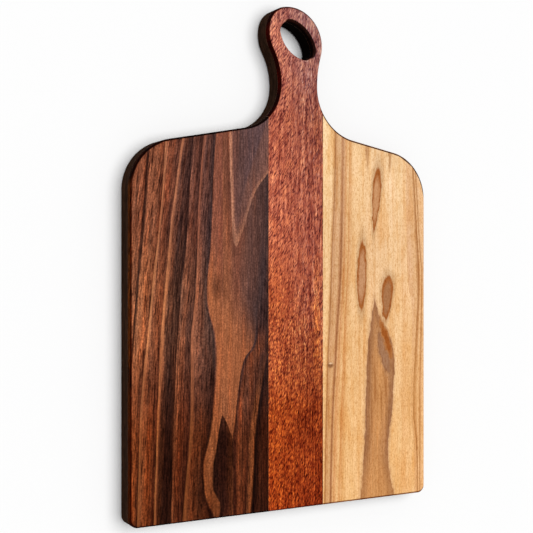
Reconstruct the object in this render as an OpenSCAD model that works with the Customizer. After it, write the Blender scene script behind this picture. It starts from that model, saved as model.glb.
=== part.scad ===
// Paddle charcuterie board: a thin face of three woods laminated on a dark walnut backing.
// It lies flat with its serving face up, its handle towards +Y and the middle of its
// bounding box, on the surface it lies on, at the origin.

/* [Board] */
// Width of the body
board_w = 254; // [220:1:300]
// Whole length, from the square end to the top of the ring
board_l = 381; // [350:1:440]
// Radius of the two corners at the square end
corner_r = 6; // [3:0.5:20]

/* [Shoulders] */
// How far below the waist the shoulder lines would meet the sides
shoulder_drop = 52.6; // [50:0.2:80]
// Angle by which each shoulder rises towards the neck, in degrees
shoulder_slope = 11; // [6:0.5:13]
// Radius of the big round between each side and its shoulder
shoulder_r = 37; // [20:1:45]

/* [Neck] */
// Width of the neck at its waist
neck_w = 32.6; // [28:0.2:36]
// How far below the ring's middle the waist lies
waist_drop = 35.2; // [33:0.2:50]
// Distance of the neck's middle from the middle of the handle stave, towards +X
neck_shift = 3; // [0:0.5:4]

/* [Ring] */
// Long axis of the slanted ring
ring_l = 52.6; // [50:0.2:56]
// Short axis of the ring
ring_w = 44; // [42:0.2:46]
// Radius of the ring's tight ends
ring_end_r = 16; // [14:0.2:18]
// Angle by which the ring's long axis drops towards +X, in degrees
ring_tilt = 47; // [35:1:55]

/* [Hole] */
// Long axis of the bored hole
hole_l = 33.4; // [26:0.2:35]
// Short axis of the hole
hole_w = 20.2; // [18:0.2:24]
// Radius of the hole's tight ends
hole_end_r = 7.4; // [6:0.1:8.5]
// Angle by which the hole's long axis drops towards +X, in degrees
hole_tilt = 44; // [35:1:55]
// Distance of the hole's middle from the ring's, down its long axis
hole_shift = 2; // [0:0.5:3]

/* [Layers] */
// Whole thickness of the board
board_t = 19; // [15:0.5:30]
// Thickness of the three-wood face layer
face_t = 5; // [3:0.5:8]
// Thickness of every glue line and of the film between the layers
glue_t = 0.1; // [0.05:0.05:0.3]

/* [Staves] */
// Distance of the middle stave of the face from the middle of the body, towards +X
handle_stave_x = 6.5; // [-10:0.5:10]
// How much wider that stave is than the ring, which is cut from it, on each side
stave_margin = 0.2; // [0.2:0.1:6]
// Width of the middle stave of the backing
back_stave_w = 96; // [70:1:120]
// Distance of that stave's middle from the middle of the body, towards +X
back_stave_x = 2; // [-10:0.5:10]

/* [Edges] */
// Radius of the rounded edges all round both faces
edge_r = 1.6; // [0.5:0.1:2.5]
// Radius of the rounded edges of the hole
hole_edge_r = 2.5; // [0.5:0.1:3]

/* [Hidden] */

// Longest straight step along an arc, and the widest angle that a step may turn
arc_step = 2;
arc_turn = 9;
// Steps across each rounded edge
edge_steps = 4;
// How far a cutting shape runs past what it cuts
overrun = 5;

walnut_brown = "#5b3a27";
padauk_red = "#a84d2c";
maple_tan = "#d8b07a";
back_brown = "#3f2b21";
glue_amber = "#b99a66";

// Heights of the layers
back_t = board_t - face_t - glue_t;
face_z = board_t - face_t;

half_w = board_w / 2;
foot_y = -board_l / 2;

// An oval of four arcs: its two long sides turn on this radius, tangent to its tight ends
function side_r(long, short, end_r) =
    (pow(long / 2 - end_r, 2) + pow(short / 2, 2) - pow(end_r, 2)) / (short - 2 * end_r);
// How far the long sides' centres lie from the oval's middle
function side_drop(long, short, end_r) = side_r(long, short, end_r) - short / 2;
// Angle from the long axis to where an end meets a long side
function end_turn(long, short, end_r) =
    atan2(side_drop(long, short, end_r), long / 2 - end_r);
// How far the oval reaches from its middle, at an angle from its long axis
function oval_reach(long, short, end_r, angle) =
    angle < end_turn(long, short, end_r)
        ? end_r + (long / 2 - end_r) * cos(angle)
        : side_r(long, short, end_r) - side_drop(long, short, end_r) * sin(angle);

// The ring: its top touches the end of the board
ring_side_r = side_r(ring_l, ring_w, ring_end_r);
ring_turn = end_turn(ring_l, ring_w, ring_end_r);
ring_x = handle_stave_x;
ring_y = board_l / 2 - oval_reach(ring_l, ring_w, ring_end_r, 90 - ring_tilt);
ring_reach = oval_reach(ring_l, ring_w, ring_end_r, ring_tilt);
ring_along = [cos(ring_tilt), -sin(ring_tilt)];
ring_across = [sin(ring_tilt), cos(ring_tilt)];
ring_end = ring_along * (ring_l / 2 - ring_end_r);
ring_side = ring_across * side_drop(ring_l, ring_w, ring_end_r);
ring_at = [ring_x, ring_y];

// The neck hangs below the ring, and the shoulders below the neck
waist_y = ring_y - waist_drop;
shoulder_y = waist_y - shoulder_drop;
neck_x = handle_stave_x + neck_shift;
waist_left = neck_x - neck_w / 2;
waist_right = neck_x + neck_w / 2;

// The hole sits low in the ring, along its own long axis
hole_along = [cos(hole_tilt), -sin(hole_tilt)];
hole_across = [sin(hole_tilt), cos(hole_tilt)];
hole_at = ring_at + hole_along * hole_shift;
hole_turn = end_turn(hole_l, hole_w, hole_end_r);
hole_side_r = side_r(hole_l, hole_w, hole_end_r);
hole_end = hole_along * (hole_l / 2 - hole_end_r);
hole_side = hole_across * side_drop(hole_l, hole_w, hole_end_r);

// Radius of the hollow under the waist: tangent to the waist and to a shoulder line,
// where run is the distance from the waist to the side of the body
function hollow_r(run) =
    (waist_y - shoulder_y - run * tan(shoulder_slope)) * cos(shoulder_slope)
        / (1 - sin(shoulder_slope));
// Radius of the hollow above the waist: tangent to the waist and to an arc of the ring,
// where run and rise lead from the arc's centre to the waist
function upper_r(run, rise, arc_r) =
    (run * run + rise * rise - arc_r * arc_r) / (2 * (arc_r - run));

left_hollow_r = hollow_r(half_w + waist_left);
right_hollow_r = hollow_r(half_w - waist_right);

// On the left the neck runs into the ring's lower side
left_side = ring_at + ring_side;
left_upper_r = upper_r(left_side.x - waist_left, left_side.y - waist_y, ring_side_r);
left_upper = [waist_left - left_upper_r, waist_y];
left_touch = atan2(left_upper.y - left_side.y, left_upper.x - left_side.x) + 360;

// On the right it runs into the ring's right end, or into its upper side if it slants more
end_span = ring_turn - ring_tilt;
right_end = ring_at + ring_end;
end_upper_r = upper_r(waist_right - right_end.x, right_end.y - waist_y, ring_end_r);
end_touch = atan2(waist_y - right_end.y, waist_right + end_upper_r - right_end.x);
past_end = end_touch > end_span;
right_ball = past_end ? ring_at - ring_side : right_end;
right_ball_r = past_end ? ring_side_r : ring_end_r;
right_upper_r = upper_r(waist_right - right_ball.x, right_ball.y - waist_y, right_ball_r);
right_upper = [waist_right + right_upper_r, waist_y];
right_touch = atan2(right_upper.y - right_ball.y, right_upper.x - right_ball.x);

// Height of the centres of the big shoulder rounds
shoulder_arc_y =
    shoulder_y + shoulder_r * tan(shoulder_slope) - shoulder_r / cos(shoulder_slope);

// The outline, anticlockwise from the right of the waist. Each arc is its centre, its radius
// and its first and last angle, and straight edges join one arc to the next.
RIGHT_END_ARCS = past_end ? [] : [[right_end, ring_end_r, right_touch, end_span]];
RING_ARCS = [
    [ring_at - ring_side, ring_side_r, max(right_touch, end_span), 180 - ring_turn - ring_tilt],
    [ring_at - ring_end, ring_end_r, 180 - ring_turn - ring_tilt, 180 + end_span],
    [left_side, ring_side_r, 180 + end_span, left_touch]
];
HANDLE_ARCS = concat(
    [[right_upper, right_upper_r, 180, right_touch + 180]],
    RIGHT_END_ARCS,
    RING_ARCS,
    [[left_upper, left_upper_r, left_touch - 180, 0]]
);
BODY_ARCS = [
    [[waist_left - left_hollow_r, waist_y], left_hollow_r, 0, shoulder_slope - 90],
    [[shoulder_r - half_w, shoulder_arc_y], shoulder_r, 90 + shoulder_slope, 180],
    [[corner_r - half_w, foot_y + corner_r], corner_r, 180, 270],
    [[half_w - corner_r, foot_y + corner_r], corner_r, 270, 360],
    [[half_w - shoulder_r, shoulder_arc_y], shoulder_r, 0, 90 - shoulder_slope],
    [[waist_right + right_hollow_r, waist_y], right_hollow_r, 270 - shoulder_slope, 180]
];
BOARD_ARCS = concat(HANDLE_ARCS, BODY_ARCS);
HOLE_ARCS = [
    [hole_at + hole_end, hole_end_r, -hole_turn - hole_tilt, hole_turn - hole_tilt],
    [hole_at - hole_side, hole_side_r, hole_turn - hole_tilt, 180 - hole_turn - hole_tilt],
    [hole_at - hole_end, hole_end_r, 180 - hole_turn - hole_tilt, 180 + hole_turn - hole_tilt],
    [hole_at + hole_side, hole_side_r, 180 + hole_turn - hole_tilt, 360 - hole_turn - hole_tilt]
];

// Steps that an arc takes
function arc_steps(arc) =
    let (turn = abs(arc[3] - arc[2]))
    ceil(max(turn / arc_turn, turn * PI * arc[1] / (180 * arc_step)));
// Points of an outline of arcs, drawn in by inset: arcs that turn clockwise are hollows, so
// they widen where the others tighten. An arc's points skip its end where the next arc starts.
function outline(arcs, inset) = [
    for (i = [0 : len(arcs) - 1])
        let (
            arc = arcs[i],
            next = arcs[(i + 1) % len(arcs)],
            hollow = arc[3] < arc[2],
            r = arc[1] + (hollow ? inset : -inset),
            steps = arc_steps(arc),
            meets = norm(arc_point(arc, arc[3]) - arc_point(next, next[2])) < arc_step / 100
        )
        for (k = [0 : meets ? steps - 1 : steps])
            let (angle = arc[2] + (arc[3] - arc[2]) * k / steps)
            arc[0] + r * [cos(angle), sin(angle)]
];
function arc_point(arc, angle) = arc[0] + arc[1] * [cos(angle), sin(angle)];

// Levels of a rounded edge, from the wall to the face: how far each is drawn in, and its height.
// face is the height of the flat face and way is 1 for an upper face or -1 for a lower one.
function edge_levels(face, way, r) = [
    for (k = [0 : edge_steps])
        let (angle = 90 * k / edge_steps)
        [r * (1 - cos(angle)), face - way * r * (1 - sin(angle))]
];
function reversed(list) = [for (i = [len(list) - 1 : -1 : 0]) list[i]];

// Points of an outline at each of some rising levels, a level being its inset and its height
function level_points(arcs, levels) = [
    for (level = levels, p = outline(arcs, level[0])) [p.x, p.y, level[1]]
];
// The walls between those levels
function wall_faces(count, levels) = [
    for (i = [0 : len(levels) - 2], k = [0 : count - 1])
        let (next = (k + 1) % count)
        [i * count + k, (i + 1) * count + k, (i + 1) * count + next, i * count + next]
];
function indices(first, last) = [for (k = [first : last]) k];

// A solid from one round, convex outline through its levels
module round_loft(arcs, levels) {
    count = len(outline(arcs, 0));
    top = (len(levels) - 1) * count;
    caps = [indices(0, count - 1), reversed(indices(top, top + count - 1))];
    polyhedron(level_points(arcs, levels), concat(caps, wall_faces(count, levels)));
}

// Faces of the board's cap whose outline starts at first, seen from below. The handle and the
// body each fan out from a middle point, and a diamond between the two points spans the waist.
// Each face names the point that it fans out from first.
function cap_faces(first, middles, handle, count) = [
    concat([middles], indices(first, first + handle)),
    concat([middles + 1], indices(first + handle, first + count - 1), [first]),
    [first, middles, first + handle, middles + 1]
];

function turned_over(face) = concat([face[0]], reversed([for (i = [1 : len(face) - 1]) face[i]]));

// A solid from the board's outline through its levels
module board_loft(levels) {
    handle = len(outline(HANDLE_ARCS, 0)) - 1;
    count = len(outline(BOARD_ARCS, 0));
    top = (len(levels) - 1) * count;
    low_z = levels[0][1];
    top_z = levels[len(levels) - 1][1];
    middles = [for (z = [low_z, top_z], p = [ring_at, [neck_x, shoulder_y]]) [p.x, p.y, z]];
    low_cap = cap_faces(0, top + count, handle, count);
    top_cap = cap_faces(top, top + count + 2, handle, count);
    points = concat(level_points(BOARD_ARCS, levels), middles);
    polyhedron(
        points,
        concat(low_cap, [for (face = top_cap) turned_over(face)], wall_faces(count, levels))
    );
}

// The hole, with rounded edges at both faces
module hole() {
    flare = [for (level = edge_levels(board_t, 1, hole_edge_r)) [-level[0], level[1]]];
    under = [for (level = reversed(edge_levels(0, -1, hole_edge_r))) [-level[0], level[1]]];
    ends = [[-hole_edge_r, -overrun], [-hole_edge_r, board_t + overrun]];
    round_loft(HOLE_ARCS, concat([ends[0]], under, flare, [ends[1]]));
}

// The face layer before it is split into staves: rounded at the serving face
module face_layer() {
    board_loft(concat([[0, face_z]], edge_levels(board_t, 1, edge_r)));
}

// The backing before it is split into staves: rounded at the underside
module back_layer() {
    board_loft(concat(reversed(edge_levels(0, -1, edge_r)), [[0, back_t]]));
}

// The part of a layer that lies between two lines across the board
module between(left, right) {
    intersection() {
        children();
        translate([left, foot_y - overrun, -overrun])
            cube([right - left, board_l + 2 * overrun, board_t + 2 * overrun]);
    }
}

// Where the glue lines run, each named by its middle
walnut_seam = handle_stave_x - ring_reach - stave_margin;
maple_seam = handle_stave_x + ring_reach + stave_margin;
left_back_seam = back_stave_x - back_stave_w / 2;
right_back_seam = back_stave_x + back_stave_w / 2;
outer_left = -half_w - overrun;
outer_right = half_w + overrun;
half_glue = glue_t / 2;

module walnut_face_stave() {
    color(walnut_brown) between(outer_left, walnut_seam - half_glue) face_layer();
}

module padauk_handle_stave() {
    color(padauk_red) difference() {
        between(walnut_seam + half_glue, maple_seam - half_glue) face_layer();
        hole();
    }
}

module maple_face_stave() {
    color(maple_tan) between(maple_seam + half_glue, outer_right) face_layer();
}

module walnut_glue_line() {
    color(glue_amber) between(walnut_seam - half_glue, walnut_seam + half_glue) face_layer();
}

module maple_glue_line() {
    color(glue_amber) between(maple_seam - half_glue, maple_seam + half_glue) face_layer();
}

module lamination_glue_film() {
    color(glue_amber) difference() {
        board_loft([[0, back_t], [0, face_z]]);
        hole();
    }
}

module left_back_stave() {
    color(back_brown) between(outer_left, left_back_seam - half_glue) back_layer();
}

module handle_back_stave() {
    color(back_brown) difference() {
        between(left_back_seam + half_glue, right_back_seam - half_glue) back_layer();
        hole();
    }
}

module right_back_stave() {
    color(back_brown) between(right_back_seam + half_glue, outer_right) back_layer();
}

module left_back_glue_line() {
    color(glue_amber)
        between(left_back_seam - half_glue, left_back_seam + half_glue) back_layer();
}

module right_back_glue_line() {
    color(glue_amber)
        between(right_back_seam - half_glue, right_back_seam + half_glue) back_layer();
}

walnut_face_stave();
padauk_handle_stave();
maple_face_stave();
walnut_glue_line();
maple_glue_line();
lamination_glue_film();
left_back_stave();
handle_back_stave();
right_back_stave();
left_back_glue_line();
right_back_glue_line();
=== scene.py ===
# %% [markdown]
# # A laminated paddle board in three woods
#
# The real board is a thin face of walnut, padauk and a pale streaked maple, glued on a backing
# of dark walnut. Its outline is sawn, its edges are rounded with a router, and it is oiled.
# The solid model already has every stave and glue line at its real size, in metres, so this
# lesson adds what a solid can't show: smooth shading and the figure, pores and oil of the wood.

# %% Load the solid model
from math import radians

import bmesh
import bpy
from mathutils import Matrix, Vector


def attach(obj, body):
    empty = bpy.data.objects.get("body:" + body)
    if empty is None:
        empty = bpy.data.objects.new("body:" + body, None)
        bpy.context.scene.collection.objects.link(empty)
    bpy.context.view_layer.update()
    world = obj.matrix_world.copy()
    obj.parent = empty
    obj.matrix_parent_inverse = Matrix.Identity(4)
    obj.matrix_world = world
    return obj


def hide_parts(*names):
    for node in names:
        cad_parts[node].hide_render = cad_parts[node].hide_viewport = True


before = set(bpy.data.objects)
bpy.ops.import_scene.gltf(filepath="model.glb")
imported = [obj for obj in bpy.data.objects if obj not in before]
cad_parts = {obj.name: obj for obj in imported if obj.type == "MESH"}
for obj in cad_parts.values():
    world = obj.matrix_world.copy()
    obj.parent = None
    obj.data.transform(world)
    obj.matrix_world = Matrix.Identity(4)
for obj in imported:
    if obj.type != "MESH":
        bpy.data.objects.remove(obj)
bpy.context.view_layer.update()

# %% [markdown]
# ## Camera
#
# The board was photographed from its left, level with its middle, so its upright edges stay
# parallel and its level edges run together to the right. The place and the lens come from
# fitting those edges. The camera looks down at the board lying on the floor, with the handle
# at the top of the picture, so its turn is written out instead of tracking a target.

# %% Place the camera
CAMERA_AT = Vector((-0.3802, -0.0066, 0.6951))
CAMERA_TURN = radians(28.11)
LENS_MM = 69.18
SENSOR_MM = 36.0

camera_data = bpy.data.cameras.new("camera")
camera_data.sensor_width = SENSOR_MM
camera_data.lens = LENS_MM
camera = bpy.data.objects.new("camera", camera_data)
bpy.context.scene.collection.objects.link(camera)
camera.matrix_world = Matrix.Translation(CAMERA_AT) @ Matrix.Rotation(-CAMERA_TURN, 4, "Y")
bpy.context.scene.camera = camera
print("camera stands", round(CAMERA_AT.z, 3), "m above the floor")

# %% [markdown]
# ## Small helpers
#
# Colours are written as the hex values that a picture shows, and the renderer wants linear
# light, so one function turns one into the other. A material is a tree of nodes, and one more
# function adds any node, sets it and links it. Sockets are given in their order or by number:
# a Map Range takes a value, its low and high end, and what those become; a Mix of colours takes
# its share in socket 0 and its two colours in sockets 6 and 7. Settings that come up again and
# again have a name.

# %% Turn a hex colour to linear light
def linear(hex_colour):
    """An sRGB hex colour as linear red, green, blue and alpha."""
    parts = [int(hex_colour[i:i + 2], 16) / 255 for i in (1, 3, 5)]
    return tuple(c / 12.92 if c <= 0.04045 else ((c + 0.055) / 1.055) ** 2.4 for c in parts) + (1.0,)


print("the grey #808080 in linear light:", round(linear("#808080")[0], 3))


# %% Add one node with its settings and links
def add(tree, kind, inputs=(), stops=(), points=(), **settings):
    """Adds a node and returns it. inputs holds values, sockets or whole nodes, in the order of
    the node's sockets or by socket. stops fills a colour ramp with (place, hex colour), and
    points fills a curve with (across, up)."""
    node = tree.nodes.new("ShaderNode" + kind)
    for name, value in settings.items():
        setattr(node, name, value)
    for socket, value in inputs.items() if isinstance(inputs, dict) else enumerate(inputs):
        if isinstance(value, bpy.types.Node):
            value = next(out for out in value.outputs if out.enabled)
        if isinstance(value, bpy.types.NodeSocket):
            tree.links.new(value, node.inputs[socket])
        else:
            node.inputs[socket].default_value = value
    for i, (place, colour) in enumerate(stops):
        band = node.color_ramp.elements
        stop = band[i] if i < 2 else band.new(place)
        stop.position = place
        stop.color = linear(colour)
    if points:
        line = node.mapping.curves[0].points
        for i, (across, up) in enumerate(points):
            spot = line[i] if i < 2 else line.new(across, up)
            spot.location = (across, up)
            spot.handle_type = "AUTO_CLAMPED"
        node.mapping.update()
    return node


# %% Name the settings that come up often
# A Mix of colours lays the second over the first, or multiplies the two, which tints the first
OVER = {"data_type": "RGBA"}
TINTING = {"data_type": "RGBA", "blend_type": "MULTIPLY"}
# A Map Range is an even slope, or with this a soft one
SOFTLY = {"interpolation_type": "SMOOTHSTEP"}


# %% Start a material
def new_material(name):
    """An empty material and its node tree."""
    material = bpy.data.materials.new(name)
    material.use_nodes = True
    material.node_tree.nodes.clear()
    return material, material.node_tree


# %% [markdown]
# ## Places on the board, and drawn grain lines
#
# Every wood reads the same places: millimetres from the board's middle, taken from the object's
# own coordinates. The figure of a flat-sawn board is a family of lines that never cross, like
# the contours of a map. Each one is drawn here as a curve: the distance across the board at
# each height along it. Between two neighbours the share of the way across rises from 0 to 1, so
# adding those shares up gives a number that grows by one at each line, which a colour ramp then
# paints. Where two lines meet, the wood between them pinches out, as at the tip of a flame.

# %% Read places in millimetres
MM_IN_A_METRE = 1000


def millimetres(tree):
    """The place on the board, in millimetres from its middle."""
    spot = add(tree, "TexCoord").outputs["Object"]
    return add(tree, "VectorMath", (spot, (MM_IN_A_METRE,) * 3), operation="MULTIPLY")


# %% Let the grain wander
# It wanders in waves about 9 mm wide, 45 mm long and 30 mm deep
WANDER_WAVES_MM = (9, 45, 30)


def places(tree, wander_mm):
    """x and y in millimetres, and the whole place, with the grain wandering a little in x."""
    spot = millimetres(tree)
    waves = [1 / wave for wave in WANDER_WAVES_MM]
    slow = add(tree, "VectorMath", (spot, waves), operation="MULTIPLY")
    drift = add(tree, "TexNoise", {"Vector": slow, "Scale": 1.0, "Detail": 3.0})
    drift = add(tree, "Math", (drift, 2 * wander_mm, -wander_mm), operation="MULTIPLY_ADD")
    shift = add(tree, "CombineXYZ", (drift,))
    spot = add(tree, "VectorMath", (spot, shift), operation="ADD")
    parts = add(tree, "SeparateXYZ", (spot,))
    return parts.outputs[0], parts.outputs[1], spot


# %% Draw one grain line
# Lines run from the square end to the handle's end, and a curve's box has this margin beside them
LOW_Y, HIGH_Y = -191.0, 191.0
MARGIN_MM = 1.0


def grain_line(tree, y, drawn):
    """Distance across the board, in millimetres, of a line drawn as (height along, distance across)."""
    drawn = sorted(drawn)
    low = min(across for _, across in drawn) - MARGIN_MM
    high = max(across for _, across in drawn) + MARGIN_MM
    share = add(tree, "MapRange", (y, LOW_Y, HIGH_Y))
    points = [((up - LOW_Y) / (HIGH_Y - LOW_Y), (across - low) / (high - low)) for up, across in drawn]
    # A new curve has a point at each end, so the drawn ends take those two
    points = [points[0], points[-1]] + points[1:-1]
    curve = add(tree, "FloatCurve", {"Value": share}, points=points)
    return add(tree, "Math", (curve, high - low, low), operation="MULTIPLY_ADD")


# %% Number the growth from line to line
# Lines that meet are kept this far apart
LEAST_GAP_MM = 0.05


def growth(tree, x, lines):
    """Grows by one from each line to the next across the board, as a share of all of them."""
    total = 0.0
    for left, right in zip(lines, lines[1:]):
        apart = add(tree, "Math", (left, LEAST_GAP_MM), operation="ADD")
        right = add(tree, "Math", (right, apart), operation="MAXIMUM")
        step = add(tree, "MapRange", (x, left, right))
        total = add(tree, "Math", (step, total), operation="ADD")
    return add(tree, "Math", (total, len(lines) - 1), operation="DIVIDE")


# %% [markdown]
# ## Fibres, pores and the oiled surface
#
# Wood is a bundle of long cells. Noise that is stretched along the grain gives the fibres, and
# the darkest parts of a shorter noise give the open pores, which are cut through lengthwise on
# the face and show as dots on the end grain. Real pores are 0.1 to 0.3 mm wide, which would be
# lost in the render, so they are drawn nearly a millimetre wide. The sawn sides and the rounded
# edges drink more oil than the sanded face, and end grain drinks the most, so they come out
# darker, and a painted shade darkens the sides and the rounded edges further: a ramp over how
# far the surface turns away from the face tints them. The wall of the hanging hole is end grain
# in part and can't be sanded well, and a painted shade makes it almost black.

# %% Stretch a noise along the grain
def stretched(tree, spot, across_mm, along_mm, detail=2.0, lean=0.0):
    """Noise whose grains are so many millimetres across and along the grain, from 0 to 1."""
    turned = add(tree, "VectorRotate", {"Vector": spot, "Angle": lean}, rotation_type="Z_AXIS")
    size = (1 / across_mm, 1 / along_mm, 1 / across_mm)
    spot = add(tree, "VectorMath", (turned, size), operation="MULTIPLY")
    return add(tree, "TexNoise", {"Vector": spot, "Scale": 1.0, "Detail": detail})


# %% Streak a colour with light and dark fibres
def streaked(tree, colour, noise, dark, light, calm=0.03, full=0.16):
    """Times dark where the noise is low and times light where it is high. calm and full say how
    far from the noise's middle that begins and is at its strongest."""
    for tint, way in ((dark, -1), (light, 1)):
        share = add(tree, "MapRange", (noise, 0.5 + way * calm, 0.5 + way * full))
        colour = add(tree, "Mix", {0: share, 6: colour, 7: (*tint, 1.0)}, **TINTING)
    return colour


# %% Find the hanging hole
# The hole and its rounding lie within this reach of its middle
HOLE_AT, HOLE_REACH_MM, HOLE_EDGE_MM = (8.0, 165.0, 0.0), 19.5, 1.0


def near_hole(tree):
    """1 in and around the hanging hole and 0 elsewhere."""
    away = add(tree, "VectorMath", (millimetres(tree), (1.0, 1.0, 0.0)), operation="MULTIPLY")
    away = add(tree, "VectorMath", (away, HOLE_AT), operation="DISTANCE")
    return add(tree, "MapRange", (away, HOLE_REACH_MM, HOLE_REACH_MM - HOLE_EDGE_MM))


# %% Choose the oil, the relief and the painted shade in the hole
# A nearly black painted shade for the hanging hole's wall and its rounding where that faces down or left
HOLE_PAINTED_SHADE = (0.04, 0.028, 0.024, 1.0)
# Oil that has soaked in leaves a weak sheen, and pores and sawn sides are rougher than the face
OIL = {"IOR": 1.47, "Specular IOR Level": 0.025}
PORES_ROUGHER, SAWN_ROUGHER = 0.2, 0.35
# Pores are up to a tenth of a millimetre deep, and the sanding softens them
RELIEF = {"Distance": 0.0001, "Strength": 0.3}
# Where the sawn sides, for their roughness, and the painted shade on the hole's wall begin and are full, by
# how level the surface lies
SAWN, WALL = (0.9, 0.3), (0.6, 0.25)
# The painted shade on the hole's rounding, by how far it faces left and, at this weight, down
DOWN_WEIGHT, SHADED = 0.7, (-0.05, -0.22)
print("sheen of the oil:", OIL["Specular IOR Level"])


# %% Give a wood its sides, relief, oil and painted shade
def oiled(tree, colour, relief, pores, side_oil_and_shade, ends, roughness):
    """Links a wood's colour to an oiled surface with sunk pores. side_oil_and_shade tints it by how
    level the surface lies, from 0 on a side to 1 on the face, for the oil and a painted shade on the
    side faces and rounded edges, and ends by which end the surface faces, from 0 at the square end
    over 0.5 along the grain to 1 at the handle's end, which also lays a painted shade on the rounded
    edges at the top and the bottom. A painted shade darkens the hanging hole's wall and its rounding."""
    normal = add(tree, "SeparateXYZ", (add(tree, "NewGeometry").outputs["Normal"],))
    level = add(tree, "Math", (normal.outputs[2],), operation="ABSOLUTE")
    lengthwise = add(tree, "MapRange", (normal.outputs[1], -1.0, 1.0))
    hole = near_hole(tree)
    outside = add(tree, "Math", (1.0, hole), operation="SUBTRACT")
    for share, turn, tints in ((1.0, level, side_oil_and_shade), (outside, lengthwise, ends)):
        tint = add(tree, "ValToRGB", (turn,), stops=tints)
        colour = add(tree, "Mix", {0: share, 6: colour, 7: tint}, **TINTING)
    # A painted shade darkens the hole's wall, and its rounding where that faces down or left
    wall = add(tree, "MapRange", (level, *WALL))
    facing = add(tree, "Math", (normal.outputs[1], DOWN_WEIGHT, normal.outputs[0]), operation="MULTIPLY_ADD")
    shaded = add(tree, "MapRange", (facing, *SHADED))
    dark = add(tree, "Math", (wall, shaded), operation="MAXIMUM")
    hole_painted_shade = add(tree, "Math", (hole, dark), operation="MULTIPLY")
    colour = add(tree, "Mix", {0: hole_painted_shade, 6: colour, 7: HOLE_PAINTED_SHADE}, **TINTING)
    height = add(tree, "Math", (pores, -1.0, relief), operation="MULTIPLY_ADD")
    bump = add(tree, "Bump", {"Height": height, **RELIEF})
    rough = add(tree, "MapRange", (pores, 0.0, 1.0, roughness, roughness + PORES_ROUGHER))
    sawn = add(tree, "MapRange", (level, *SAWN, 0.0, SAWN_ROUGHER))
    rough = add(tree, "Math", (rough, sawn), operation="ADD", use_clamp=True)
    surface = add(tree, "BsdfPrincipled", {"Base Color": colour, "Roughness": rough, "Normal": bump, **OIL})
    add(tree, "OutputMaterial", {"Surface": surface})


# %% [markdown]
# ## Oiled black walnut, flat-sawn
#
# The left stave is black walnut sawn nearly along its growth rings and oiled, so it shows a tall
# pale flame between straighter dark lines, with a dark tongue running up into it. To the eye it
# is a satin brown that is cool and greyish towards the handle, partly from a painted sheen, and
# warm, almost black, towards the square end. Its lines are drawn, and two ramps paint them: one
# for each end of the stave, the upper one with the painted sheen in its colours.

# %% Draw the walnut's growth lines
WALNUT_LINES = [
    [(-191, -133), (191, -133)],
    [(-191, -132), (-100, -128), (-50, -124), (0, -119.5), (14, -118.2), (30, -116.6), (46, -115.3),
     (70, -113.6), (110, -111)],
    [(-191, -121.5), (-140, -120.3), (-110, -119), (-85, -117), (-60, -114), (-30, -111),
     (0, -107.5), (20, -105), (50, -102.3), (80, -100.5), (110, -100)],
    [(-191, -109), (-150, -107.5), (-120, -106.3), (-80, -104.5), (-45, -102.5), (-20, -100.2),
     (0, -98.3), (20, -96.3), (40, -93.8), (60, -91), (85, -87), (110, -82)],
    [(-191, -96), (-150, -95), (-100, -93), (-60, -91), (-30, -88.5), (-15, -87), (0, -84.7),
     (30, -82.6), (60, -81), (85, -78.5), (110, -74)],
    [(-191, -87.5), (-160, -84.5), (-140, -82.3), (-120, -81.2), (-90, -80.5), (-60, -80.5),
     (-45, -79), (-20, -76.5), (0, -75.6), (30, -75), (50, -74), (70, -72.3), (110, -67)],
    [(-191, -60), (-183, -64.5), (-175, -68), (-165, -69.8), (-155, -70.4), (-145, -69.2), (-135, -66.4),
     (-120, -63.8), (-105, -62), (-90, -60.8), (-75, -60.4), (-60, -61.2), (-50, -63.2), (-38, -66.6),
     (-25, -67.9), (-10, -67), (0, -65.6), (20, -64), (50, -63), (70, -62), (110, -58)],
    [(-191, -59.5), (-187, -58.3), (-183, -57.6), (-178, -58.8), (-172, -61.8), (-165, -63.6), (-155, -63.4),
     (-145, -61.8), (-135, -60), (-125, -58.2), (-118, -56.6), (-113, -55.4), (110, -55.4)],
    [(-191, -47), (-150, -47.2), (-134, -47.4), (-128, -49.4), (-122, -51.5), (-118, -53.6),
     (-113, -55.4), (110, -55.4)],
    [(-191, -47), (-150, -47.2), (-134, -47.4), (-125, -46), (-115, -44.8), (-105, -43.6), (-95, -42),
     (-85, -40), (-78, -38.4), (-73, -36), (-68, -31.6), (-60, -28.4), (-50, -27), (-35, -24.5),
     (-20, -21.5), (0, -18.5), (20, -16), (110, -15)],
    [(-191, -32.6), (-175, -31.2), (-160, -30.2), (-140, -29.5), (-130, -28.7), (-120, -27.5),
     (-110, -25.8), (-95, -23), (-85, -21), (-75, -19), (-60, -15.5), (110, -14)],
    [(-191, -12), (191, -12)],
]
WALNUT_GROWTH = len(WALNUT_LINES) - 1
print("walnut growth lines:", len(WALNUT_LINES))
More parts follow.
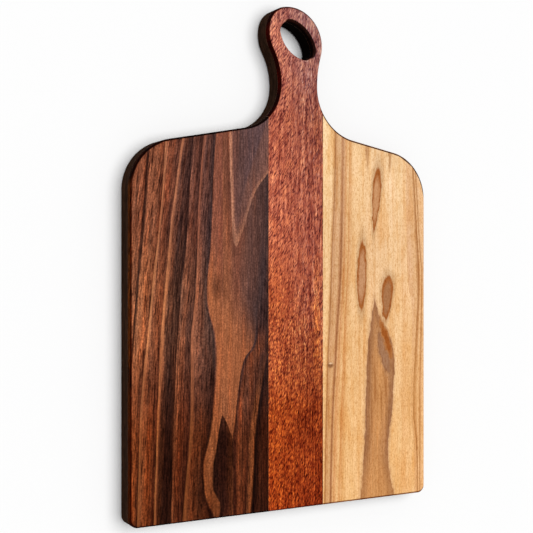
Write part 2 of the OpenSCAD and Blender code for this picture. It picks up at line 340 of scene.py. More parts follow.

# %% Choose the walnut's colours from line to line
# The upper colours also hold a painted sheen that cools and greys the walnut towards the handle
WALNUT_UPPER_AND_SHEEN = [
    (0.0, "#94583c"), (0.88, "#8b5038"), (0.94, "#3a2019"), (1.03, "#45281f"), (1.1, "#985b40"),
    (1.6, "#90543a"), (1.94, "#643525"), (1.99, "#b5724e"), (2.11, "#9c5e43"), (2.22, "#824832"),
    (2.93, "#5e3426"), (2.99, "#b5714e"), (3.08, "#a06043"), (3.2, "#623b2e"), (3.5, "#4a2d25"),
    (3.95, "#38211c"), (4.02, "#7f4d3b"), (4.4, "#6b3e30"), (4.95, "#482b25"), (5.02, "#935843"),
    (5.3, "#694238"), (5.95, "#3a2928"), (6.02, "#925641"), (6.9, "#884f3d"), (8.1, "#94593f"),
    (8.3, "#7f4c3b"), (8.5, "#70493d"), (8.7, "#604038"), (8.93, "#443231"), (9.3, "#3f2926"),
    (11.0, "#3a2622"),
]
WALNUT_LOWER = [
    (0.0, "#924a24"), (0.93, "#6c3218"), (1.02, "#82401f"), (1.6, "#8b4320"), (1.94, "#4c2212"),
    (2.0, "#95552e"), (2.12, "#884a2a"), (2.5, "#7b3819"), (2.93, "#4a2011"), (2.99, "#b06838"),
    (3.05, "#864628"), (3.15, "#4a2311"), (3.5, "#28110a"), (3.95, "#2c130a"), (4.02, "#743e24"),
    (4.4, "#5a2915"), (4.95, "#38180e"), (5.02, "#8a4c28"), (5.16, "#66331b"), (5.95, "#28110a"),
    (6.02, "#96532e"), (6.98, "#8a4c2b"), (7.02, "#220e08"), (7.6, "#2a110a"), (7.98, "#45200f"),
    (8.02, "#87492a"), (8.98, "#834627"), (9.03, "#35180e"), (9.14, "#3c1a10"), (9.24, "#74391f"),
    (9.5, "#5c2c18"),
]
# A ramp holds at most 32 colours, so the wood next to the padauk has one of its own
BORDER_FROM = 9.5
WALNUT_BORDER = [
    (BORDER_FROM, "#5c2c18"), (9.7, "#452013"), (9.84, "#7a4224"), (9.97, "#824626"), (10.02, "#1a0a06"),
    (10.12, "#190906"), (10.3, "#3e1c0f"), (10.7, "#30140b"), (11.0, "#190906"),
]
print("walnut colours:", len(WALNUT_UPPER_AND_SHEEN), len(WALNUT_LOWER), len(WALNUT_BORDER))

# %% Paint the walnut by its growth
walnut, tree = new_material("walnut_flat_sawn_oiled")
x, y, spot = places(tree, wander_mm=0.5)
grown = growth(tree, x, [grain_line(tree, y, drawn) for drawn in WALNUT_LINES])
upper, lower, border = [
    add(tree, "ValToRGB", (grown,), stops=[(at / WALNUT_GROWTH, wood) for at, wood in colours])
    for colours in (WALNUT_UPPER_AND_SHEEN, WALNUT_LOWER, WALNUT_BORDER)]
# The count of lines passed, and the border's ramp, which takes over at once
count = add(tree, "Math", (grown, WALNUT_GROWTH), operation="MULTIPLY")
AT_ONCE = 0.001
at_border = add(tree, "MapRange", (count, BORDER_FROM, BORDER_FROM + AT_ONCE))
lower = add(tree, "Mix", {0: at_border, 6: lower, 7: border}, **OVER)
# The cool upper colours, with their painted sheen, give way to the warm lower ones between these heights
COOL_TO, WARM_FROM = -50.0, -135.0
below = add(tree, "MapRange", (y, COOL_TO, WARM_FROM), **SOFTLY)
colour = add(tree, "Mix", {0: below, 6: upper, 7: lower}, **OVER)

# %% [markdown]
# Right of the flame the wood is a warm brown where it is widest, above the tongue. Under the
# tongue's notch the two dark bands run together, so the thin line of flame that would be left
# between them is painted over. Left of the flame the wood is lighter and warmer half way down.
# Each of these is a zone with soft ends, because real colour changes without an edge.

# %% Find the share of a zone
def zone_share(tree, ends, share=1.0):
    """share inside a zone and 0 outside it. Each of its ends is a value, the number at which the
    zone begins, and the number from which it is full."""
    for value, none, full in ends:
        reached = add(tree, "MapRange", (value, none, full))
        share = add(tree, "Math", (share, reached), operation="MULTIPLY")
    return share


# %% Warm the wood on both sides of the flame
# Each zone has its upper, lower, left and right end, by height and by the lines' count, and its
# colour. The second runs on past the square end
WALNUT_ZONES = [
    ((-46, -72), (-135, -108), (9.04, 9.16), (9.8, 9.5), linear("#703d29"), OVER),
    ((-134, -136), (-401, -400), (7.96, 8.0), (9.04, 9.0), linear("#3c1b10"), OVER),
    ((30, -30), (-105, -60), (-1.0, 0.0), (6.0, 5.9), (1.43, 1.46, 1.24, 1.0), TINTING),
]
for upper_end, lower_end, left_end, right_end, wood, mixing in WALNUT_ZONES:
    share = add(tree, "MapRange", (y, *upper_end), **SOFTLY)
    share = zone_share(tree, ((y, *lower_end), (count, *left_end), (count, *right_end)), share)
    colour = add(tree, "Mix", {0: share, 6: colour, 7: wood}, **mixing)

# %% [markdown]
# Inside the flame's upper end lies a second, smaller one, whose pale edge comes down to a tip
# and runs up again to the right. Above that edge the wood is a dull grey-brown. The big flame is
# palest below the middle, where the saw ran along one ring, and fades up to the right.

# %% Add the inner flame
INNER_LEFT = [(8, -44.3), (10, -45.8), (15, -47), (30, -48), (50, -48.8), (70, -49.6), (110, -50.5)]
INNER_RIGHT = [(8, -44.3), (11, -42.4), (15, -41), (22, -38), (35, -34), (45, -30.3), (52, -26.5),
               (60, -20.5), (66, -16), (80, -5), (110, 18)]
INNER_WOOD = [(0.0, "#c2866a"), (0.1, "#ae745b"), (0.19, "#734c43"), (0.5, "#64453f"), (1.0, "#634948")]
# The tip's height, and the width over which the wood inside changes
TIP_Y, INNER_MM = 8.0, 16.0
left_of = add(tree, "Math", (x, grain_line(tree, y, INNER_LEFT)), operation="SUBTRACT")
right_of = add(tree, "Math", (grain_line(tree, y, INNER_RIGHT), x), operation="SUBTRACT")
inward = add(tree, "Math", (left_of, right_of), operation="MINIMUM")
inside = zone_share(tree, ((inward, -0.2, 0.2), (y, TIP_Y, TIP_Y + 1.0)))
depth = add(tree, "MapRange", (inward, 0.0, INNER_MM))
inner = add(tree, "ValToRGB", (depth,), stops=INNER_WOOD)

# %% Lighten the inner flame at its right edge and near its tip
right_edge = add(tree, "Math", (left_of, right_of), operation="SUBTRACT")
right_edge = add(tree, "MapRange", (right_edge, -1.0, 3.0, 0.0, 0.55))
inner = add(tree, "Mix", {0: right_edge, 6: inner, 7: linear("#7b5347")}, **OVER)
near_tip = add(tree, "MapRange", (y, 28.0, 12.0, 0.0, 0.85), **SOFTLY)
inner = add(tree, "Mix", {0: near_tip, 6: inner, 7: linear("#a56e55")}, **OVER)

# %% Darken the wood before the inner flame's left edge, and lay the inner flame on
before = add(tree, "MapRange", (left_of, -9.0, -1.0, 0.0, 0.8), **SOFTLY)
before = zone_share(tree, ((y, -5.0, 45.0), (left_of, 0.4, -0.4)), before)
colour = add(tree, "Mix", {0: before, 6: colour, 7: linear("#6b3f32")}, **OVER)
colour = add(tree, "Mix", {0: inside, 6: colour, 7: inner}, **OVER)

# %% Find the flame and the tongue in it
# By the lines' count, the flame lies between 6 and 9, without the tongue between 7 and 8
flame = zone_share(tree, ((count, 6.01, 6.04), (count, 8.99, 8.96)))
tongue = zone_share(tree, ((count, 6.98, 7.02), (count, 8.02, 7.98)))
flame = add(tree, "Math", (flame, tongue), operation="SUBTRACT")

# %% Pale the middle of the flame
# The pale wood ends softly along a slanting line through this place, towards the upper right
PALE_END = Vector((-55.0, -19.0, 0.0))
SLANT = Vector((0.88, 0.475, 0.0))
PALE_EDGE_MM = 15.0
slant = add(tree, "VectorMath", (spot, SLANT), operation="DOT_PRODUCT")
slant = add(tree, "Math", (slant, SLANT.dot(PALE_END)), operation="SUBTRACT")
pale = add(tree, "MapRange", (slant, PALE_EDGE_MM, -PALE_EDGE_MM, 0.0, 0.9), **SOFTLY)
lit = add(tree, "MapRange", (y, -150.0, -85.0), **SOFTLY)
pale = add(tree, "Math", (pale, lit), operation="MULTIPLY")
pale = add(tree, "Math", (pale, flame), operation="MULTIPLY")
colour = add(tree, "Mix", {0: pale, 6: colour, 7: linear("#a9633e")}, **OVER)

# %% Darken the flame and lighten the tongue towards the square end
square_end = add(tree, "MapRange", (y, -140.0, -186.0), **SOFTLY)
for zone, tint in ((flame, (0.62, 0.56, 0.52, 1.0)), (tongue, (1.7, 1.75, 1.7, 1.0))):
    share = add(tree, "Math", (square_end, zone), operation="MULTIPLY")
    colour = add(tree, "Mix", {0: share, 6: colour, 7: tint}, **TINTING)

# %% [markdown]
# Clouds and worn places have no drawn edge at all, so they are soft ovals laid on the colour.

# %% Smudge a colour with soft ovals
# A smudge is at its strongest within this share of its oval
SMUDGE_CORE = 0.1


def from_oval(tree, spot, middle, half):
    """How far a place lies from an oval's middle: 1 on the oval. half is its half width and height."""
    away = add(tree, "VectorMath", (spot, (*middle, 0.0)), operation="SUBTRACT")
    away = add(tree, "VectorMath", (away, (1 / half[0], 1 / half[1], 0.0)), operation="MULTIPLY")
    return add(tree, "VectorMath", (away,), operation="LENGTH")


def smudged(tree, colour, spot, smudges, mixing):
    """Mixes in soft ovals, each given by its middle, half size, greatest share and colour."""
    for middle, half, most, wood in smudges:
        away = from_oval(tree, spot, middle, half)
        share = add(tree, "MapRange", (away, 1.0, SMUDGE_CORE, 0.0, most), **SOFTLY)
        colour = add(tree, "Mix", {0: share, 6: colour, 7: wood}, **mixing)
    return colour


# %% Smudge the walnut
# A dark cloud in the pale wood, a red streak beside the tongue, a narrow shade left of the flame,
# and two lighter places further left: middle, half size, greatest share and tint
WALNUT_SMUDGES = [
    ((-59.5, -21.0), (7.5, 13.0), 0.9, (0.5, 0.5, 0.54, 1.0)),
    ((-41.0, -113.0), (2.4, 19.0), 0.9, (1.6, 1.25, 0.95, 1.0)),
    ((-64.0, -98.0), (3.0, 46.0), 0.9, (0.8, 0.74, 0.68, 1.0)),
    ((-89.0, -98.0), (17.0, 56.0), 0.9, (1.36, 1.26, 1.08, 1.0)),
    ((-89.0, 54.0), (18.0, 60.0), 0.9, (1.19, 1.22, 1.28, 1.0)),
]
colour = smudged(tree, colour, spot, WALNUT_SMUDGES, TINTING)

# %% Lean the walnut's fibres
# Left of the flame the fibres lean as the third line does, whose middle is at this distance
LEANING_LINE = -98.0
follow = add(tree, "Math", (grain_line(tree, y, WALNUT_LINES[3]), LEANING_LINE), operation="SUBTRACT")
follow = zone_share(tree, ((x, -50.0, -80.0),), follow)
shift = add(tree, "CombineXYZ", (follow,))
fibres = add(tree, "VectorMath", (spot, shift), operation="SUBTRACT")

# %% Streak the walnut
plain = colour
band = stretched(tree, fibres, 4.0, 60.0)
colour = streaked(tree, colour, band, (0.82, 0.9, 1.02), (1.2, 1.04, 0.92))
long_fibre = stretched(tree, fibres, 1.2, 34.0, 3.0)
colour = streaked(tree, colour, long_fibre, (0.46, 0.42, 0.43), (1.48, 1.44, 1.36))
short_fibre = stretched(tree, fibres, 1.0, 8.0)
colour = streaked(tree, colour, short_fibre, (0.6, 0.58, 0.6), (1.38, 1.36, 1.32), full=0.13)
speck = stretched(tree, fibres, 0.9, 1.5, 1.0)
colour = streaked(tree, colour, speck, (0.7, 0.7, 0.72), (1.3, 1.3, 1.3), full=0.13)

# %% Open the walnut's pores
# Long dark dashes are at their darkest on the left, and short pores lie all over
dashes = add(tree, "MapRange", (stretched(tree, fibres, 1.2, 20.0, 1.0), 0.59, 0.65))
leftward = add(tree, "MapRange", (x, -70.0, -100.0, 0.55, 1.0))
dashes = add(tree, "Math", (dashes, leftward), operation="MULTIPLY")
pores = add(tree, "MapRange", (stretched(tree, fibres, 0.8, 7.0, 1.0), 0.6, 0.67))
for share, tint in ((dashes, (0.36, 0.32, 0.34, 1.0)), (pores, (0.45, 0.43, 0.45, 1.0))):
    colour = add(tree, "Mix", {0: share, 6: colour, 7: tint}, **TINTING)

# %% [markdown]
# The flame and the pale edges of the rings have finer pores than the rest, so part of the
# plain colour is laid over the streaks there. A painted shade darkens the walnut's rounded edge most.

# %% Calm the pale wood
# The pale edge of these lines is this far past them, and this far to each side is calmed
CALM_LINES, PALE_PAST, PALE_REACH = (2, 3, 5), 0.04, 0.09
rim_wood = zone_share(tree, ((inward, 3.0, 1.8),), inside)
for line in CALM_LINES:
    near = add(tree, "Math", (count, line + PALE_PAST, PALE_REACH), operation="COMPARE")
    rim_wood = add(tree, "Math", (rim_wood, near), operation="MAXIMUM")
quiet = 0.0
for zone, most in ((flame, 0.42), (pale, 0.62), (rim_wood, 0.5)):
    calmed = add(tree, "Math", (zone, most), operation="MULTIPLY")
    quiet = add(tree, "Math", (quiet, calmed), operation="MAXIMUM")
colour = add(tree, "Mix", {0: quiet, 6: colour, 7: plain}, **OVER)
flecked = streaked(tree, colour, speck, (0.9, 0.88, 0.87), (1.09, 1.1, 1.1), full=0.13)
colour = add(tree, "Mix", {0: flame, 6: colour, 7: flecked}, **OVER)

# %% Finish the walnut
# Both ramps mix the oil's darkening with a painted shade: on the sides, most of all on their rounded edge,
# and on the rounded edges at the top and the bottom
WALNUT_SIDES_OIL_AND_SHADE = [(0.0, "#b6a673"), (0.3, "#b6a673"), (0.5, "#76503f"), (0.94, "#76503f"), (0.995, "#ffffff")]
WALNUT_ENDS_OIL_AND_SHADE = [(0.1, "#ffffff"), (0.3, "#ac9a8c"), (0.45, "#ffffff"), (0.51, "#ffffff"), (0.6, "#4e3e36"),
               (0.95, "#8c7c70")]
oiled(tree, colour, short_fibre, pores, WALNUT_SIDES_OIL_AND_SHADE, WALNUT_ENDS_OIL_AND_SHADE, roughness=0.55)
print("walnut nodes:", len(tree.nodes))

# %% [markdown]
# ## Oiled padauk
#
# The middle stave and the handle are padauk, sanded and oiled: orange-red, with big open pores
# that show as short dark dashes. Its grain is interlocked, so on the left the dashes lean over
# to the right, and on the right straight ribbons catch the light. It turns browner and duller
# towards the ring. Its sawn sides are dark red with oil and a painted shade, and a stronger
# painted shade makes them almost black where they face left.

# %% Colour the padauk along the board
LEFT_PADAUK = [(0.0, "#b04419"), (0.2, "#b54d21"), (0.3, "#c5613a"), (0.42, "#c7613a"), (0.6, "#cc6e52"),
               (0.78, "#c26950"), (0.9, "#c5715b"), (1.0, "#ba7060")]
RIGHT_PADAUK = [(0.0, "#943415"), (0.2, "#9c3f1d"), (0.3, "#ae5634"), (0.42, "#b86248"), (0.6, "#b4604a"),
                (0.78, "#ae614b"), (0.9, "#ae7166"), (1.0, "#ab756d")]
padauk, tree = new_material("padauk_interlocked_oiled")
x, y, spot = places(tree, wander_mm=0.6)
SQUARE_END, RING_END = -190.0, 190.0
along = add(tree, "MapRange", (y, SQUARE_END, RING_END))
left, right = [add(tree, "ValToRGB", (along,), stops=wood) for wood in (LEFT_PADAUK, RIGHT_PADAUK)]
across = add(tree, "MapRange", (x, -14.0, 20.0), **SOFTLY)
colour = add(tree, "Mix", {0: across, 6: left, 7: right}, **OVER)

# %% Interlock the padauk's grain
# The leaning dashes give way to straight ones along a line that wavers by up to this much, and
# they lean less in the lower half
WAVER_MM = 24.0
waver = add(tree, "Math", (stretched(tree, spot, 9.0, 25.0), WAVER_MM, x), operation="MULTIPLY_ADD")
straight = add(tree, "MapRange", (waver, 14.0, 24.0))
lower_half = add(tree, "MapRange", (y, 10.0, -50.0))
leaning = stretched(tree, spot, 0.6, 3.8, 1.0, lean=radians(28))
sloping = stretched(tree, spot, 0.75, 3.0, 1.0, lean=radians(14))
upright = stretched(tree, spot, 0.62, 4.2, 1.0, lean=radians(5))
grain = add(tree, "Mix", {0: lower_half, 2: leaning, 3: sloping})
grain = add(tree, "Mix", {0: straight, 2: grain, 3: upright})

# %% Lay ribbons on the padauk
ribbon = stretched(tree, spot, 1.5, 50.0)
ribboned = streaked(tree, colour, ribbon, (0.58, 0.44, 0.46), (1.32, 1.55, 1.55), full=0.13)
share = add(tree, "MapRange", (straight, 0.0, 1.0, 0.4, 0.75))
colour = add(tree, "Mix", {0: share, 6: colour, 7: ribboned}, **OVER)
# Two ribbons are drawn, by their middle, lower and upper end and tint
DRAWN_RIBBONS = [(18.0, -110, 55, (0.8, 0.68, 0.7, 1.0)), (25.0, -100, 8, (1.3, 1.3, 0.95, 1.0))]
RIBBON_FADE_MM = 25
for middle, bottom, top, tint in DRAWN_RIBBONS:
    off = add(tree, "Math", (x, middle), operation="SUBTRACT")
    off = add(tree, "Math", (off,), operation="ABSOLUTE")
    ends = ((off, 4.0, 1.0), (y, bottom, bottom + RIBBON_FADE_MM), (y, top, top - RIBBON_FADE_MM))
    share = zone_share(tree, ends)
    colour = add(tree, "Mix", {0: share, 6: colour, 7: tint}, **TINTING)

# %% Cloud and streak the padauk
cloud = stretched(tree, spot, 7.0, 16.0)
colour = streaked(tree, colour, cloud, (0.84, 0.75, 0.74), (1.15, 1.18, 1.06))
streak = stretched(tree, spot, 1.1, 15.0, lean=radians(5))
colour = streaked(tree, colour, streak, (0.66, 0.52, 0.58), (1.26, 1.46, 1.5))
colour = streaked(tree, colour, grain, (0.4, 0.3, 0.4), (1.38, 1.54, 1.34), calm=0.02, full=0.15)

# %% Silver the padauk's upper right
# Cut across, the ribbons shine a silvery pink there
silver = zone_share(tree, ((y, -130.0, -60.0),), straight)
shine = stretched(tree, spot, 0.8, 3.4, 1.0, lean=radians(7))
silvered = streaked(tree, colour, shine, (0.94, 0.86, 0.86), (1.09, 1.36, 1.6), full=0.2)
colour = add(tree, "Mix", {0: silver, 6: colour, 7: silvered}, **OVER)

# %% Fleck the padauk
# The lower half is flecked with orange and brown, and fine specks lie all over
fleck = stretched(tree, spot, 0.9, 2.4, 1.0, lean=radians(12))
flecked = streaked(tree, colour, fleck, (0.58, 0.43, 0.5), (1.38, 1.7, 1.45), full=0.14)
patch = stretched(tree, spot, 3.0, 6.0, lean=radians(16))
flecked = streaked(tree, flecked, patch, (0.9, 0.83, 0.86), (1.09, 1.17, 1.06))
colour = add(tree, "Mix", {0: lower_half, 6: colour, 7: flecked}, **OVER)
speck = stretched(tree, spot, 0.9, 1.4, 1.0)
colour = streaked(tree, colour, speck, (0.86, 0.83, 0.86), (1.12, 1.15, 1.14), full=0.13)

# %% Lighten the ring and open the padauk's pores
# The ring is lighter on its left and its right: middle, half size, greatest share and tint
RING_LIGHTER = [
    ((-12.0, 170.0), (7.0, 24.0), 0.9, (1.44, 1.58, 1.43, 1.0)),
    ((27.0, 166.0), (6.0, 22.0), 0.9, (1.25, 1.42, 1.35, 1.0)),
]
colour = smudged(tree, colour, spot, RING_LIGHTER, TINTING)
pores = stretched(tree, spot, 0.85, 3.6, 1.0, lean=radians(24))
pores = add(tree, "MapRange", (pores, 0.58, 0.65))
colour = add(tree, "Mix", {0: pores, 6: colour, 7: (0.34, 0.26, 0.36, 1.0)}, **TINTING)

# %% Finish the padauk
# Both ramps mix the oil's darkening with a painted shade: on the sides, and on the rounded edges at the top
# and the bottom
PADAUK_SIDES_OIL_AND_SHADE = [(0.0, "#8c3f1c"), (0.3, "#8c3f1c"), (0.62, "#ffffff")]
PADAUK_ENDS_OIL_AND_SHADE = [(0.33, "#a07c70"), (0.47, "#ffffff"), (0.51, "#ffffff"), (0.62, "#6a4840"), (0.95, "#a07c70")]
# A painted shade darkens what faces left still more: a dark red side, and a nearly black rounding above it
LEFT_PADAUK_PAINTED_SHADE = [(0.0, "#b87464"), (0.3, "#b87464"), (0.55, "#552a20"), (0.82, "#552a20"),
                    (0.93, "#ffffff")]
normal = add(tree, "SeparateXYZ", (add(tree, "NewGeometry").outputs["Normal"],))
left_shade_share = add(tree, "MapRange", (normal.outputs[0], -0.08, -0.28))
left_shade_share = add(tree, "Math", (left_shade_share, near_hole(tree)), operation="SUBTRACT", use_clamp=True)
tint = add(tree, "ValToRGB", (normal.outputs[2],), stops=LEFT_PADAUK_PAINTED_SHADE)
colour = add(tree, "Mix", {0: left_shade_share, 6: colour, 7: tint}, **TINTING)
oiled(tree, colour, grain, pores, PADAUK_SIDES_OIL_AND_SHADE, PADAUK_ENDS_OIL_AND_SHADE, roughness=0.55)
print("padauk nodes:", len(tree.nodes))

# %% [markdown]
# ## Oiled maple with mineral streaks
#
# The right stave is maple, sanded and oiled: pale and honey-coloured, fine-grained, with two
# soft brown streaks beside the padauk, a tan band near the edge, three lens-shaped stains and one
# long brown tongue from the square end. The streaks are drawn as lines again. Each stain is an
# oval that leans and tapers, with an orange-brown rim where the colour stopped spreading.

# %% Draw the maple's streaks
MAPLE_LINES = [
    [(-191, 26), (191, 26)],
    [(-191, 31.5), (-120, 33), (-80, 34.3), (-50, 35.8), (0, 37.8), (60, 40.3), (110, 41.5)],
    [(-191, 34.3), (-120, 35.8), (-80, 37.5), (-50, 39.3), (0, 41.2), (60, 43.8), (110, 45)],
    [(-191, 36.5), (-150, 37.6), (-120, 38.7), (-80, 41.2), (-50, 43), (-30, 44.6), (0, 46.2),
     (40, 47.3), (110, 48.5)],
    [(-191, 39), (-150, 40), (-120, 41), (-80, 43.6), (-50, 45.6), (-30, 47.2), (0, 48.8),
     (40, 49.8), (110, 51)],
    [(-191, 44), (-100, 48), (-50, 50), (0, 53), (40, 54), (110, 55)],
    [(-191, 104), (-50, 105), (0, 104), (50, 105.5), (110, 104)],
    [(-191, 117.5), (-170, 117.3), (-150, 116.4), (-135, 114.8), (-120, 113.4), (-100, 113.6),
     (-80, 114.8), (-50, 115), (-20, 111), (20, 109), (110, 108.5)],
    [(-191, 119.8), (-170, 119.6), (-150, 118.6), (-135, 117), (-120, 115.8), (-100, 116.2),
     (-80, 117.6), (-50, 119.5), (-20, 121.2), (5, 120.6), (25, 118.8), (50, 117.4), (75, 115.3), (110, 112)],
    [(-191, 122), (-120, 122.3), (-80, 123), (-50, 123.8), (-20, 124.2), (5, 122.4), (25, 120.6),
     (50, 119), (75, 117), (110, 114)],
    [(-191, 129), (191, 129)],
]
MAPLE_GROWTH = len(MAPLE_LINES) - 1
MAPLE_COLOURS = [
    (0.0, "#f7cd98"), (0.85, "#f5ca96"), (0.98, "#d09a66"), (1.15, "#ab744a"), (1.5, "#d9a87a"),
    (1.8, "#d29d6e"), (2.0, "#dcac7e"), (2.5, "#deaf80"), (2.8, "#c99266"), (3.15, "#9c643f"),
    (3.5, "#c18b62"), (3.9, "#e6b684"), (4.1, "#d69a68"), (4.3, "#e0a976"), (4.8, "#f0c490"),
    (5.0, "#dba06a"), (5.06, "#efc18c"), (5.2, "#f2c591"), (5.5, "#f4c999"), (5.96, "#f7ce9d"),
    (6.1, "#f1c18e"), (6.93, "#f7cc9a"), (7.05, "#eabb8e"), (7.45, "#e6b687"), (7.75, "#eaba88"),
    (8.0, "#b07645"), (8.3, "#d09a68"), (8.6, "#efc292"), (8.85, "#e6b27e"), (9.0, "#b67d4c"),
    (9.2, "#edbd8c"), (10.0, "#efc08e"),
]
print("maple lines:", len(MAPLE_LINES))

# %% Paint the maple's streaks
maple, tree = new_material("maple_mineral_streaked_oiled")
x, y, spot = places(tree, wander_mm=0.5)
grown = growth(tree, x, [grain_line(tree, y, drawn) for drawn in MAPLE_LINES])
colour = add(tree, "ValToRGB", (grown,), stops=[(at / MAPLE_GROWTH, wood) for at, wood in MAPLE_COLOURS])

# %% Cloud the maple
# Each cloud's size across and along the grain and its detail, and its dark and light tint
for size, dark, light in (((9.0, 50.0, 3.0), (0.95, 0.86, 0.74), (1.04, 1.05, 1.1)),
                          ((3.6, 70.0), (0.96, 0.9, 0.82), (1.02, 1.03, 1.05)),
                          ((5.0, 11.0), (0.95, 0.9, 0.82), (1.03, 1.04, 1.07))):
    colour = streaked(tree, colour, stretched(tree, spot, *size), dark, light)
# The stave is palest at its upper end and turns golden towards the square end
for start, full, tint in ((10, 70, (1.07, 1.12, 1.17, 1.0)), (0, -130, (1.03, 0.975, 0.85, 1.0))):
    share = add(tree, "MapRange", (y, start, full))
    colour = add(tree, "Mix", {0: share, 6: colour, 7: tint}, **TINTING)

# %% Smudge the maple
# The second streak fades towards the handle, and the band near the edge is golden lower down:
# middle, half size, greatest share and colour
MAPLE_SMUDGES = [
    ((49.2, 62.0), (2.8, 90.0), 0.6, linear("#d6a278")),
    ((111.0, -105.0), (17.0, 85.0), 0.45, linear("#e3a765")),
]
colour = smudged(tree, colour, spot, MAPLE_SMUDGES, OVER)

# %% Fray the stains' edges
# They are frayed by this much across the grain, and by twice as much along it
FRAY_MM = 3.4
fray = stretched(tree, spot, 2.6, 7.0, 3.0)
fray_x = add(tree, "Math", (fray, FRAY_MM, -0.5 * FRAY_MM), operation="MULTIPLY_ADD")
frayed_x = add(tree, "Math", (x, fray_x), operation="ADD")
frayed_y = add(tree, "Math", (fray_x, 2.0, y), operation="MULTIPLY_ADD")

# %% Paint an oval stain
# Its halo and its edge, by the distance from its middle, which is 1 on its oval
HALO, EDGE = (1.6, 1.0, 0.0, 0.6), (1.04, 0.92)


def stain(tree, colour, middle, half, lean=0.0, taper=0.0, rim="#a8622f", core="#cf986b", halo="#c39a70"):
    """An oval stain: its middle, its half width and half height, and how it leans and tapers upwards."""
    up = add(tree, "Math", (frayed_y, 1 / half[1], -middle[1] / half[1]), operation="MULTIPLY_ADD")
    line = add(tree, "Math", (up, lean, middle[0]), operation="MULTIPLY_ADD")
    width = add(tree, "Math", (up, taper * half[0], half[0]), operation="MULTIPLY_ADD")
    across = add(tree, "Math", (frayed_x, line), operation="SUBTRACT")
    across = add(tree, "Math", (across, width), operation="DIVIDE")
    away = add(tree, "CombineXYZ", (across, up))
    reach = add(tree, "VectorMath", (away,), operation="LENGTH")
    around = add(tree, "MapRange", (reach, *HALO), **SOFTLY)
    colour = add(tree, "Mix", {0: around, 6: colour, 7: linear(halo)}, **OVER)
    wood = add(tree, "ValToRGB", (reach,), stops=[(0.0, core), (0.55, core), (0.82, rim), (1.0, rim)])
    within = add(tree, "MapRange", (reach, *EDGE))
    return add(tree, "Mix", {0: within, 6: colour, 7: wood}, **OVER)


# %% Stain the maple
# Two faint marks lie at the shoulder, and the three lens-shaped stains below them
for middle, half in (((71.5, 86), (1.5, 14)), ((93.0, 84), (1.4, 12))):
    colour = stain(tree, colour, middle, half, rim="#d6a473", core="#cf9c6c", halo="#dcae7e")
colour = stain(tree, colour, (79.6, 46), (3.9, 26), lean=2.2, taper=0.4)
colour = stain(tree, colour, (66.0, -14), (4.4, 28), lean=0.6, taper=0.05, core="#c9946b")
colour = stain(tree, colour, (90.0, -32), (5.2, 18), lean=1.4, taper=0.4, core="#ad7850")

# %% [markdown]
# The long tongue has the same rim, so it is drawn between a left and a right line. Near its top
# the stain turns grey, with an orange mark where it met a small wound in the tree. Beside the
# padauk there is one tiny knot.

# %% Draw the long tongue
TONGUE_LEFT = [
    (-191, 64.3), (-180, 65.5), (-170, 66.6), (-160, 67.6), (-150, 68.3), (-120, 69.3),
    (-100, 70.2), (-80, 71.3), (-65, 72.4), (-55, 74), (-45, 75.6), (-36, 77.6), (-32, 78.4),
]
TONGUE_RIGHT = [
    (-191, 97.5), (-180, 94.5), (-170, 92.6), (-160, 91.4), (-150, 91.2), (-140, 92.6), (-120, 95),
    (-100, 96.4), (-85, 97), (-72, 96), (-64, 93.5), (-56, 88.5), (-48, 83.5), (-40, 81),
    (-32, 78.6),
]
TONGUE_WOOD = [(0.0, "#b07f5c"), (0.06, "#a06e4b"), (0.26, "#a8744c"), (0.42, "#ba8355"), (0.62, "#ca8f5b"),
               (1.0, "#d0955e")]
# The width over which the wood changes from the tongue's edge inwards
TONGUE_MM = 12.0
from_left = add(tree, "Math", (frayed_x, grain_line(tree, y, TONGUE_LEFT)), operation="SUBTRACT")
from_right = add(tree, "Math", (grain_line(tree, y, TONGUE_RIGHT), frayed_x), operation="SUBTRACT")
inward = add(tree, "Math", (from_left, from_right), operation="MINIMUM")
depth = add(tree, "MapRange", (inward, 0.0, TONGUE_MM))
wood = add(tree, "ValToRGB", (depth,), stops=TONGUE_WOOD)
wood = streaked(tree, wood, stretched(tree, spot, 2.4, 40.0), (0.76, 0.66, 0.56), (1.18, 1.18, 1.18))
foot = add(tree, "MapRange", (y, -140.0, -185.0, 0.0, 0.5), **SOFTLY)
wood = add(tree, "Mix", {0: foot, 6: wood, 7: linear("#d0935a")}, **OVER)
around = add(tree, "MapRange", (inward, -3.0, 0.0, 0.0, 0.6), **SOFTLY)
colour = add(tree, "Mix", {0: around, 6: colour, 7: linear("#d3a274")}, **OVER)
within = add(tree, "MapRange", (inward, -0.3, 0.3))
colour = add(tree, "Mix", {0: within, 6: colour, 7: wood}, **OVER)
colour = stain(tree, colour, (87.0, -76), (4.0, 17), lean=-5.0, rim="#a17150", core="#a87a5a", halo="#b98860")
colour = stain(tree, colour, (89.0, -64), (3.2, 16), lean=-5.6, rim="#b57440", core="#a35a26", halo="#b57e54")

# %% Draw the tiny knot
# A dark oval with a flat pale one on it: middle, half size and colour
for middle, half, wood in (((37.0, -83.0), (3.0, 2.4), "#8f5f3e"), ((37.3, -81.6), (2.0, 0.8), "#ecc49c")):
    within = add(tree, "MapRange", (from_oval(tree, spot, middle, half), 1.2, 0.5, 0.0, 0.9))
    colour = add(tree, "Mix", {0: within, 6: colour, 7: linear(wood)}, **OVER)

# %% Streak the maple
long_fibre = stretched(tree, spot, 1.3, 45.0, 3.0)
colour = streaked(tree, colour, long_fibre, (0.92, 0.86, 0.78), (1.03, 1.04, 1.05))
short_fibre = stretched(tree, spot, 0.9, 4.0)
colour = streaked(tree, colour, short_fibre, (0.86, 0.78, 0.68), (1.07, 1.08, 1.1))
speck = stretched(tree, spot, 0.9, 1.5, 1.0)
colour = streaked(tree, colour, speck, (0.88, 0.82, 0.76), (1.06, 1.07, 1.09))
pores = add(tree, "MapRange", (stretched(tree, spot, 0.9, 2.4, 1.0), 0.65, 0.73))
colour = add(tree, "Mix", {0: pores, 6: colour, 7: (0.86, 0.75, 0.62, 1.0)}, **TINTING)

